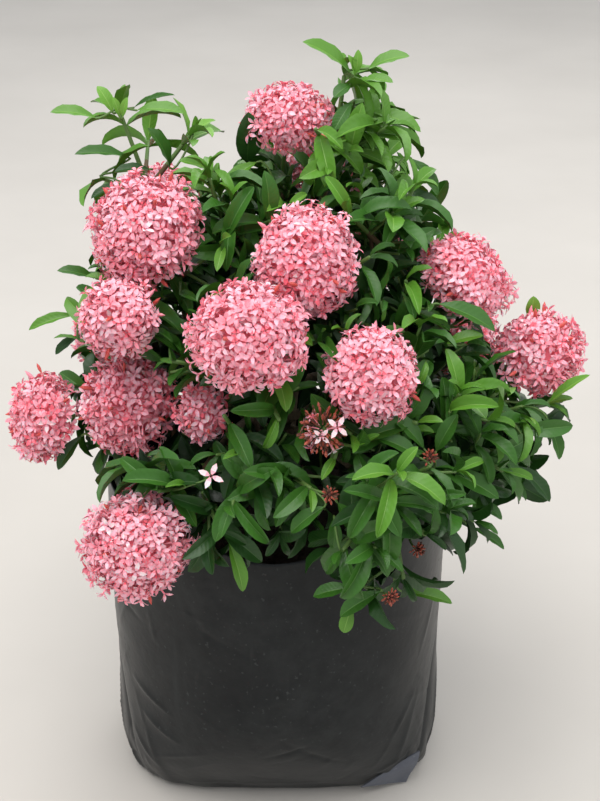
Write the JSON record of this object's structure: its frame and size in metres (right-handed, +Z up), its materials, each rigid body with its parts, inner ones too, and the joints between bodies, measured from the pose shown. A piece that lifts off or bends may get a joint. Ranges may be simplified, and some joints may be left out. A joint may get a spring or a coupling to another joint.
{
  "type": "potted ixora shrub",
  "caption": "Rounded flowering shrub with dense balls of small pink star blossoms over glossy leaves, growing in a black film nursery bag of soil.",
  "frame": {"origin": "centre of the bag's flat underside, on the ground", "axes": "+Z up, +X to the viewer's right as pictured, +Y away from the viewer"},
  "size_m": [0.3922, 0.4076, 0.5494],
  "materials": {
    "bag_film": "dusty black polythene film with a slight sheen",
    "soil": "moist dark potting soil",
    "bark": "grey-brown bark",
    "foliage": "glossy mid-green leaves with pink blossom"
  },
  "bodies": {
    "root": {"bag": "bag_film", "soil": "soil", "trunk": "bark", "bough_left": "bark", "bough_front": "bark", "bough_right": "bark", "bough_back": "bark", "bough_top": "bark", "bough_to_crown_tip": "bark", "bough_to_crown_head": "bark", "bough_to_crown_right": "bark", "bough_to_crown_left": "bark", "bough_to_upper_middle": "bark", "bough_to_upper_left": "bark", "bough_to_left_leader": "bark", "bough_to_left_edge": "bark", "bough_to_left_low": "bark", "bough_to_far_left": "bark", "bough_to_low_left": "bark", "bough_to_centre": "bark", "bough_to_centre_right": "bark", "bough_to_low_centre": "bark", "bough_to_low_right": "bark", "bough_to_right_upper": "bark", "bough_to_far_right": "bark", "bough_to_right_low": "bark", "bough_to_back_top": "bark", "bough_to_back_left": "bark", "bough_to_back_right": "bark", "bough_to_back_low_left": "bark", "bough_to_back_low": "bark", "bough_to_back_low_right": "bark", "crown_tip": "foliage", "crown_head": "foliage", "crown_right": "foliage", "crown_left": "foliage", "upper_middle": "foliage", "upper_left": "foliage", "left_leader": "foliage", "left_edge": "foliage", "left_low": "foliage", "far_left": "foliage", "low_left": "foliage", "centre": "foliage", "centre_right": "foliage", "low_centre": "foliage", "low_right": "foliage", "right_upper": "foliage", "far_right": "foliage", "right_low": "foliage", "back_top": "foliage", "back_left": "foliage", "back_right": "foliage", "back_low_left": "foliage", "back_low": "foliage", "back_low_right": "foliage"}
  },
  "joints": []
}
